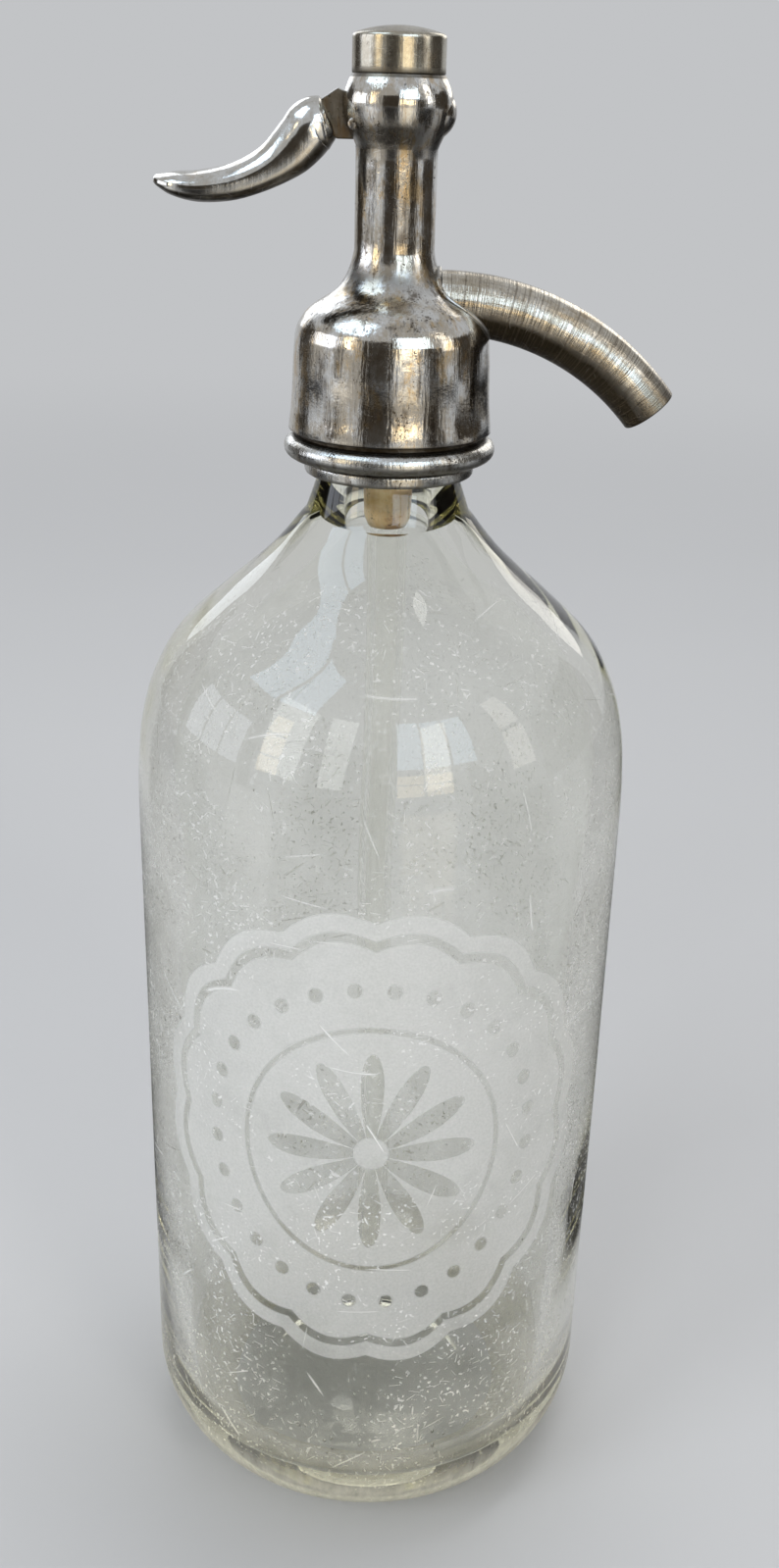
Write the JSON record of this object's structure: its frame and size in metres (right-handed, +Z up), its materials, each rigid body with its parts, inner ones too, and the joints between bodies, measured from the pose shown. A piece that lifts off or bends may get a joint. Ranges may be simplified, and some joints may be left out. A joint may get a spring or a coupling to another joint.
{
  "type": "soda siphon",
  "caption": "Thick glass soda siphon bottle with a metal valve head, horn-shaped lever and curved spout; pressing the lever lifts a spring-closed valve.",
  "frame": {"origin": "centre of the base, at the height of the ring that the bottle rests on", "axes": "+Z up the axis of the bottle, +X towards the spout, -X towards the lever, -Y towards the viewer of the picture"},
  "size_m": [0.1026, 0.0996, 0.3053],
  "materials": {
    "bottle_glass": "clear thick glass, faint yellow-green, scuffed",
    "tube_glass": "clear drawn glass",
    "head_nickel": "worn nickel plate with warm tarnish",
    "spout_nickel": "worn nickel plate, fine ring scratches",
    "cap_nickel": "worn nickel plate, brownish",
    "collar_nickel": "worn nickel plate, darkened",
    "lever_nickel": "nickel plate polished by handling",
    "pin_steel": "dull steel",
    "aged_brown": "metal aged dark brown",
    "rubber": "matt",
    "brass": "turned brass",
    "leather": "greased leather",
    "fibre": "red vulcanised fibre",
    "spring_steel": "drawn wire"
  },
  "bodies": {
    "siphon": {"glass_bottle": "bottle_glass", "dip_tube": "tube_glass", "head_body": "head_nickel", "spout": "spout_nickel", "top_cap": "cap_nickel", "neck_collar_front": "collar_nickel", "neck_collar_back": "collar_nickel", "lever_pin": "pin_steel", "tube_ferrule": "aged_brown", "tube_packing": "rubber", "mouth_gasket": "rubber", "neck_cushion": "rubber", "valve_seat": "brass", "cap_washer": "fibre", "plunger_spring": "spring_steel"},
    "lever": {"lever": "lever_nickel"},
    "plunger": {"plunger_head": "brass", "valve_spindle": "brass", "valve_washer": "rubber", "washer_screw": "brass", "packing_cup": "leather", "backing_washer": "brass"}
  },
  "joints": [
    {"name": "lever_press", "type": "hinge", "parent": "siphon", "child": "lever", "pos_m": [-0.0076, 0, 0.2895], "axis": [0, -1, 0], "range_deg": [0, 15], "stiffness_Nm_per_rad": 0.0873, "springref_deg": -45.03},
    {"name": "plunger_lift", "type": "slide", "parent": "siphon", "child": "plunger", "axis": [0, 0, 1], "range_m": [0, 0.002], "deforming": ["plunger_spring"]}
  ],
  "couplings": [
    {"joint": "plunger_lift", "follows": "lever_press", "m_per_rad": 0.00763}
  ]
}
